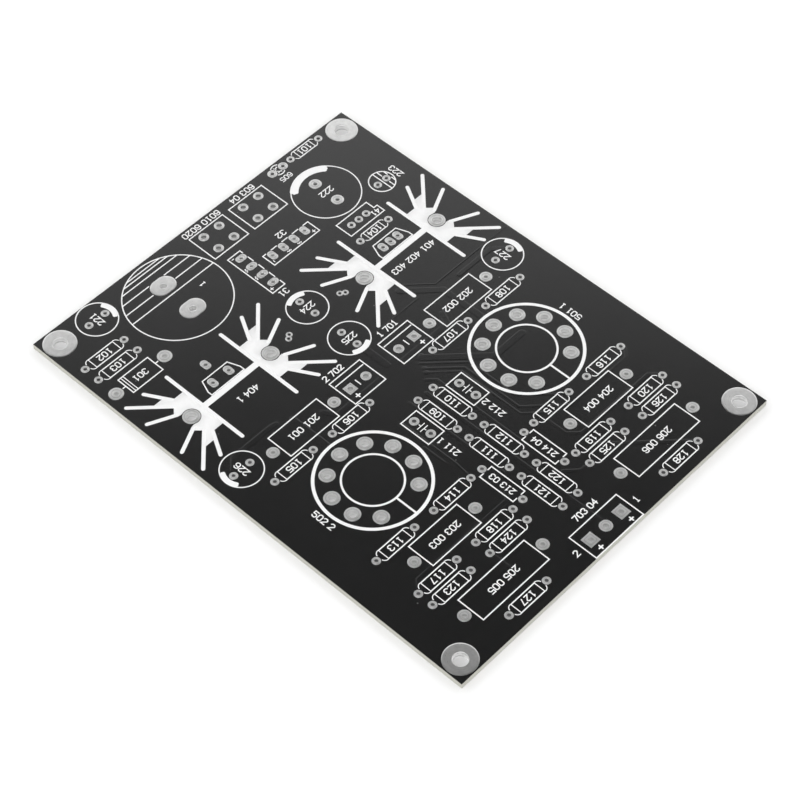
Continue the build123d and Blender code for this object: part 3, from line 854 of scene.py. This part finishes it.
# Numbers, in the same white ink. Each place for a component has a plain counting number, lettered with
# the same round nib in straight strokes, four units wide and six high.
digits = {
    "0": [[(1, 0), (0, 1), (0, 5), (1, 6), (3, 6), (4, 5), (4, 1), (3, 0), (1, 0)]],
    "1": [[(1, 5), (2, 6), (2, 0)], [(1, 0), (3, 0)]],
    "2": [[(0, 5), (1, 6), (3, 6), (4, 5), (4, 4), (0, 0), (4, 0)]],
    "3": [[(0, 5), (1, 6), (3, 6), (4, 5), (4, 4), (3, 3), (4, 2), (4, 1), (3, 0), (1, 0), (0, 1)]],
    "4": [[(3, 0), (3, 6), (0, 2), (4, 2)]],
    "5": [[(4, 6), (0, 6), (0, 3.5), (3, 3.5), (4, 2.5), (4, 1), (3, 0), (1, 0), (0, 1)]],
    "6": [[(4, 5), (3, 6), (1, 6), (0, 5), (0, 1), (1, 0), (3, 0), (4, 1), (4, 2.5), (3, 3.5), (0, 3.5)]],
    "7": [[(0, 6), (4, 6), (1.5, 0)]],
    "8": [[(1, 3.2), (0, 2.3), (0, 1), (1, 0), (3, 0), (4, 1), (4, 2.3), (3, 3.2), (1, 3.2), (0, 4.1)],
          [(0, 4.1), (0, 5.2), (1, 6), (3, 6), (4, 5.2), (4, 4.1), (3, 3.2)]],
    "9": [[(0, 1), (1, 0), (3, 0), (4, 1), (4, 5), (3, 6), (1, 6), (0, 5), (0, 3.5), (1, 2.5), (4, 2.5)]],
}
digit_units = 6
digit_step = 5.6
space_step = 3.0
side_gap = 0.8
number_line = 0.27 * mm
bold_line = 0.3 * mm
number_height = 1.5 * mm
output_number_height = 1.45 * mm
small_number_height = 1.4 * mm
smallest_number_height = 1.3 * mm
number_clearance = 0.05 * mm
small_can_longest = 8 * mm
above_small_can = 4.8 * mm
beside_plate_type = 7.9 * mm
beside_lying_bridge = 9.2 * mm
beside_upright_bridge = (-3.9 * mm, 0.4 * mm)
numbers = Print()


def number(text, x, y, turn, height=number_height, width=number_line):
    """A number about its middle, turned by an angle in degrees."""
    unit = height / digit_units
    spin = Matrix.Rotation(math.radians(turn), 2)
    spaces = text.count(" ")
    start = side_gap - ((len(text) - spaces) * digit_step + spaces * space_step) / 2
    for digit in text:
        for stroke in digits.get(digit, []):
            spots = [spin @ Vector(((start + a) * unit, (b - digit_units / 2) * unit)) for a, b in stroke]
            numbers.draw([(x + spot.x, y + spot.y) for spot in spots], width, clearance=number_clearance)
        start += digit_step if digit in digits else space_step


for i, (x, y, length, width, lean) in enumerate(resistors):
    number(str(101 + i), x, y, -90 if width > length else 180)
for i, (x, y, length, width, lean) in enumerate(films):
    number(f"{201 + i} 00{1 + i}", x, y, -90)
for i, (x, y, length) in enumerate(small_middles):
    if length > shortest_long_box:
        number(f"{211 + i} 0{1 + i}", x, y, 180, small_number_height)
    else:
        number(f"{211 + i} {1 + i}", x + beside_plate_type, y, 180)
for i, (x, y, length, width, lean) in enumerate(rounds):
    facing = abs(lean[0]) > abs(lean[1])
    if length < small_can_longest:
        number(str(221 + i), x, y + above_small_can, 180)
    else:
        number(str(221 + i), x, y, -90 if facing else 180)
number("1", *at(15.3, -11.6), 180, smallest_number_height)
number("301", *diode_middle, -90)
number("41", *at(29.3, 32.4), -90, small_number_height)
lying_middle, upright_middle = bridge_middles
number("31", lying_middle[0] + beside_lying_bridge, lying_middle[1], -90)
upright_x = upright_middle[0] + beside_upright_bridge[0]
upright_y = upright_middle[1] + beside_upright_bridge[1]
number("32", upright_x, upright_y, -90)
number("401 402 403", *at(45.8, 28.1), -90)
number("404 1", *at(46.4, -27.2), -90)
number("501 1", *at(83.9, 40.6), 180)
number("502 2", *at(83.5, -40.7), 0)
number("6010 6020", *at(1.6, 1.1), -90)
number("603 04", *at(1.6, 14.7), -90)
number("605", *at(5.5, 26.0), -90, smallest_number_height, fine_line)
number("1 701", *at(56.3, 8.0), 90, output_number_height, bold_line)
number("2 702", *at(56.4, -10.0), 90, output_number_height, bold_line)
number("703 04", *at(123.2, 0.0), 90, output_number_height, bold_line)
number("1", *at(129.4, 9.9), 90)
number("2", *at(129.3, -9.9), 90)
numbers.keep("printed_numbers")

# Camera. A long lens of about 110 mm, held above a corner of the input end and looking down across the
# board towards the supply end, as in the photograph.
camera = bpy.data.objects.new("camera", bpy.data.cameras.new("camera"))
bpy.context.scene.collection.objects.link(camera)
camera.data.lens = 109.95
camera.data.sensor_width = 36
camera.data.clip_end = 100
camera_place = (0.241783, -0.249293, 0.434862)
look = Vector((-0.42817, 0.44358, -0.78734))
up = Vector((-0.53616, 0.57665, 0.61645))
turn = Matrix((look.cross(up), up, -look)).transposed().to_4x4()
camera.matrix_world = Matrix.Translation(camera_place) @ turn
bpy.context.scene.camera = camera

# Studio. A white paper table, which also shows its white in glossy reflections, inside a tent whose lit
# walls grow brighter from the horizon up to a dark roof. One large soft lamp stands above.
table_reach = 6.0
paper_dark = (0.91, 0.91, 0.91)
paper_light = (0.93, 0.93, 0.93)
no_glow = (0, 0, 0)
glossy_glow = (0.5, 0.5, 0.5)
white = Finish("white_table", Roughness=0.8, Emission_Strength=1.0)
paper = white.noise(white.place(), scale=40)
glossy = white.node("LightPath", {}, {}, "Is Glossy Ray")
white.paint(
    Base_Color=white.blend(paper, paper_dark, paper_light),
    Emission_Color=white.blend(glossy, no_glow, glossy_glow),
)
ends = [(-table_reach, -table_reach, 0), (table_reach, -table_reach, 0)]
ends += [(table_reach, table_reach, 0), (-table_reach, table_reach, 0)]
table_mesh = bpy.data.meshes.new("table")
table_mesh.from_pydata(ends, [], [(0, 1, 2, 3)])
table_mesh.materials.append(white.material)
table = bpy.data.objects.new("table", table_mesh)
bpy.context.scene.collection.objects.link(table)

sky = Finish("sky", "worlds")
direction = sky.node("TexCoord", {}, {}, "Generated")
height = sky.node("SeparateXYZ", {}, {"Vector": direction}, "Z")
rise = {"Value": height, "From Min": 0.0, "From Max": 0.65, "To Min": 1.0, "To Max": 1.75}
roof = {"Value": height, "From Min": 0.7, "From Max": 0.81, "To Min": 1.0, "To Max": 0.023}
walls = sky.node("MapRange", {}, rise) * sky.node("MapRange", {"interpolation_type": "SMOOTHSTEP"}, roof)
sky.paint(Color=walls, Strength=1.0)
bpy.context.scene.world = sky.material

lamp = bpy.data.objects.new("soft_lamp", bpy.data.lights.new("soft_lamp", "AREA"))
lamp.data.size = 1.0
lamp.data.energy = 8.0
lamp.location = (0.1, -0.6, 1.6)
lamp.rotation_euler = (-lamp.location).to_track_quat("-Z", "Y").to_euler()
bpy.context.scene.collection.objects.link(lamp)

bpy.context.scene.view_settings.view_transform = "Standard"

bpy.context.view_layer.update()
